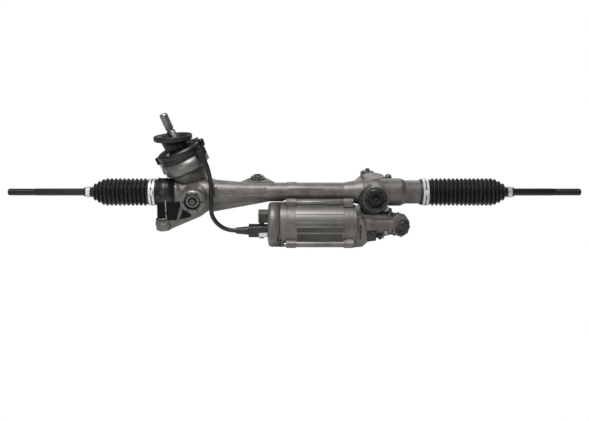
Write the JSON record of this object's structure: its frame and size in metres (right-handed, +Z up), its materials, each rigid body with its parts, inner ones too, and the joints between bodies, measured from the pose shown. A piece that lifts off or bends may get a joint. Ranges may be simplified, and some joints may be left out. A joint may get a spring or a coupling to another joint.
{
  "type": "steering rack",
  "caption": "Dual-pinion electric power steering gear: rack, tie rods with bellows, torque-sensor tower and worm-drive assist motor.",
  "frame": {"origin": "lower seat of the left mounting bore", "axes": "+X along the rack to the right, +Z up along the mounting bolts, -Y forward"},
  "size_m": [1.204, 0.1548, 0.2749],
  "materials": {
    "cast_aluminium": "satin, sand-cast",
    "machined_aluminium": "machined",
    "steel": "ground",
    "black_steel": "black coated",
    "zinc": "bright zinc",
    "dark_plug": "dark satin",
    "rubber": "matte",
    "black_plastic": "moulded",
    "grey_plastic": "moulded",
    "nylon": "moulded nylon",
    "board": "circuit board",
    "winding": "enamelled copper and laminations"
  },
  "bodies": {
    "housing": {"assist_lower_bearing": "steel", "assist_upper_bearing": "steel", "assist_yoke": "steel", "assist_yoke_plug": "dark_plug", "bellows_left": "rubber", "bellows_right": "rubber", "bulkhead_seal": "rubber", "cable_boot": "rubber", "circuit_board": "board", "controller_cover": "cast_aluminium", "controller_housing": "cast_aluminium", "cover_screws": "steel", "gearbox_cover": "cast_aluminium", "gearbox_screws": "steel", "input_bearing": "steel", "input_seal": "rubber", "large_clamps": "zinc", "motor_bearings": "steel", "motor_bolts": "steel", "motor_flange": "cast_aluminium", "motor_housing": "machined_aluminium", "mount_sleeves": "steel", "pinion_lower_bearing": "steel", "pinion_upper_bearing": "steel", "power_connector": "grey_plastic", "preload_plug": "dark_plug", "preload_spring": "steel", "rack_bushes": "nylon", "rack_housing": "cast_aluminium", "sensor_board": "board", "sensor_cable": "rubber", "sensor_connector": "black_plastic", "sensor_cover": "black_plastic", "sensor_housing": "machined_aluminium", "sensor_plug": "black_plastic", "stator": "winding", "steering_yoke": "steel", "steering_yoke_plug": "dark_plug", "worm_far_bearing": "steel", "worm_near_bearing": "steel", "yoke_springs": "steel"},
    "rack": {"rack_bar": "steel", "ball_socket_left": "black_steel", "ball_socket_right": "black_steel"},
    "race_left": {"ball_race_left": "nylon"},
    "race_right": {"ball_race_right": "nylon"},
    "rod_left": {"tie_rod_left": "black_steel", "small_clamp_left": "zinc"},
    "rod_right": {"tie_rod_right": "black_steel", "small_clamp_right": "zinc"},
    "pinion": {"steering_pinion": "steel", "torsion_bar": "steel"},
    "input": {"input_shaft": "steel", "sensor_rotor": "steel"},
    "assist_shaft": {"assist_pinion": "steel", "worm_wheel": "nylon"},
    "motor_drive": {"worm": "steel", "coupling": "nylon", "rotor": "steel"}
  },
  "joints": [
    {"name": "rack_slide", "type": "slide", "parent": "housing", "child": "rack", "axis": [1, 0, 0], "range_m": [-0.073, 0.073], "deforming": ["bellows_left", "bellows_right"]},
    {"name": "left_rod_bounce", "type": "hinge", "parent": "rack", "child": "race_left", "pos_m": [-0.106, 0.02, 0.075], "axis": [0, 1, 0], "range_deg": [-20, 20]},
    {"name": "left_rod_swing", "type": "hinge", "parent": "race_left", "child": "rod_left", "pos_m": [-0.106, 0.02, 0.075], "axis": [0, 0, 1], "range_deg": [-20, 20]},
    {"name": "right_rod_bounce", "type": "hinge", "parent": "rack", "child": "race_right", "pos_m": [0.658, 0.02, 0.075], "axis": [0, 1, 0], "range_deg": [-20, 20]},
    {"name": "right_rod_swing", "type": "hinge", "parent": "race_right", "child": "rod_right", "pos_m": [0.658, 0.02, 0.075], "axis": [0, 0, 1], "range_deg": [-20, 20]},
    {"name": "pinion_spin", "type": "hinge", "parent": "housing", "child": "pinion", "pos_m": [0.0685, 0.0385, 0.075], "axis": [-0.3584, 0, 0.9336], "range_deg": [-498.93, 498.93]},
    {"name": "torsion_twist", "type": "hinge", "parent": "pinion", "child": "input", "pos_m": [0.0685, 0.0385, 0.075], "axis": [-0.3584, 0, 0.9336], "range_deg": [-4.5, 4.5], "stiffness_Nm_per_rad": 130},
    {"name": "assist_spin", "type": "hinge", "parent": "housing", "child": "assist_shaft", "pos_m": [0.443, 0.03732, 0.075], "axis": [0, 0, 1], "range_deg": [-535.74, 535.74]},
    {"name": "motor_spin", "type": "hinge", "parent": "housing", "child": "motor_drive", "pos_m": [0.276, -0.00968, 0.0135], "axis": [1, 0, 0], "range_deg": [-9367.98, 9367.98]}
  ],
  "couplings": [
    {"joint": "pinion_spin", "follows": "rack_slide", "rad_per_m": 119.05},
    {"joint": "assist_spin", "follows": "rack_slide", "rad_per_m": 127.85},
    {"joint": "motor_spin", "follows": "rack_slide", "rad_per_m": -2237.4}
  ]
}
